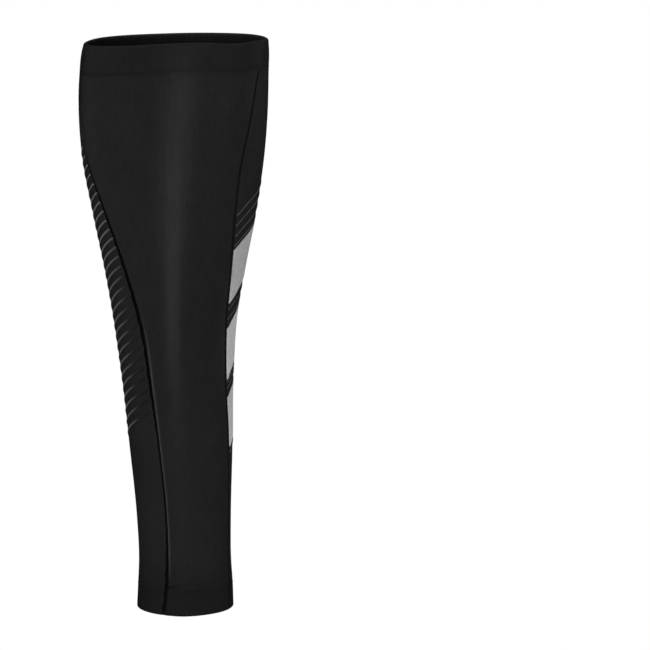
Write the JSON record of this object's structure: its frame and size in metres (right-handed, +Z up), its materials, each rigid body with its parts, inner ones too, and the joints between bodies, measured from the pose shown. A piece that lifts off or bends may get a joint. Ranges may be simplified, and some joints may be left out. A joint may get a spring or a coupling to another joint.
{
  "type": "calf compression sleeve",
  "caption": "Knitted compression sleeve for the lower leg, held in its worn form from ankle to below the knee, with a shin panel, a calf panel, flat seams, turned hems and slanted grey blocks.",
  "frame": {"origin": "middle of the leg where the calf is widest, 305 mm above the bottom edge of the sleeve", "axes": "+Z up the leg from ankle to knee, -Y to the shin, +X to the inner side of the leg"},
  "size_m": [0.1149, 0.1204, 0.3475],
  "materials": {
    "front_knit": "matt black fine knit with a soft sheen",
    "back_knit": "matt black fine knit",
    "seam_knit": "matt black knit, sewn flat",
    "grey_film": "grey print bonded to the knit"
  },
  "bodies": {
    "root": {"front_panel": "front_knit", "back_panel": "back_knit", "outer_seam": "seam_knit", "inner_seam": "seam_knit", "grey_block_upper": "grey_film", "grey_block_middle": "grey_film", "grey_block_lower": "grey_film"}
  },
  "joints": []
}
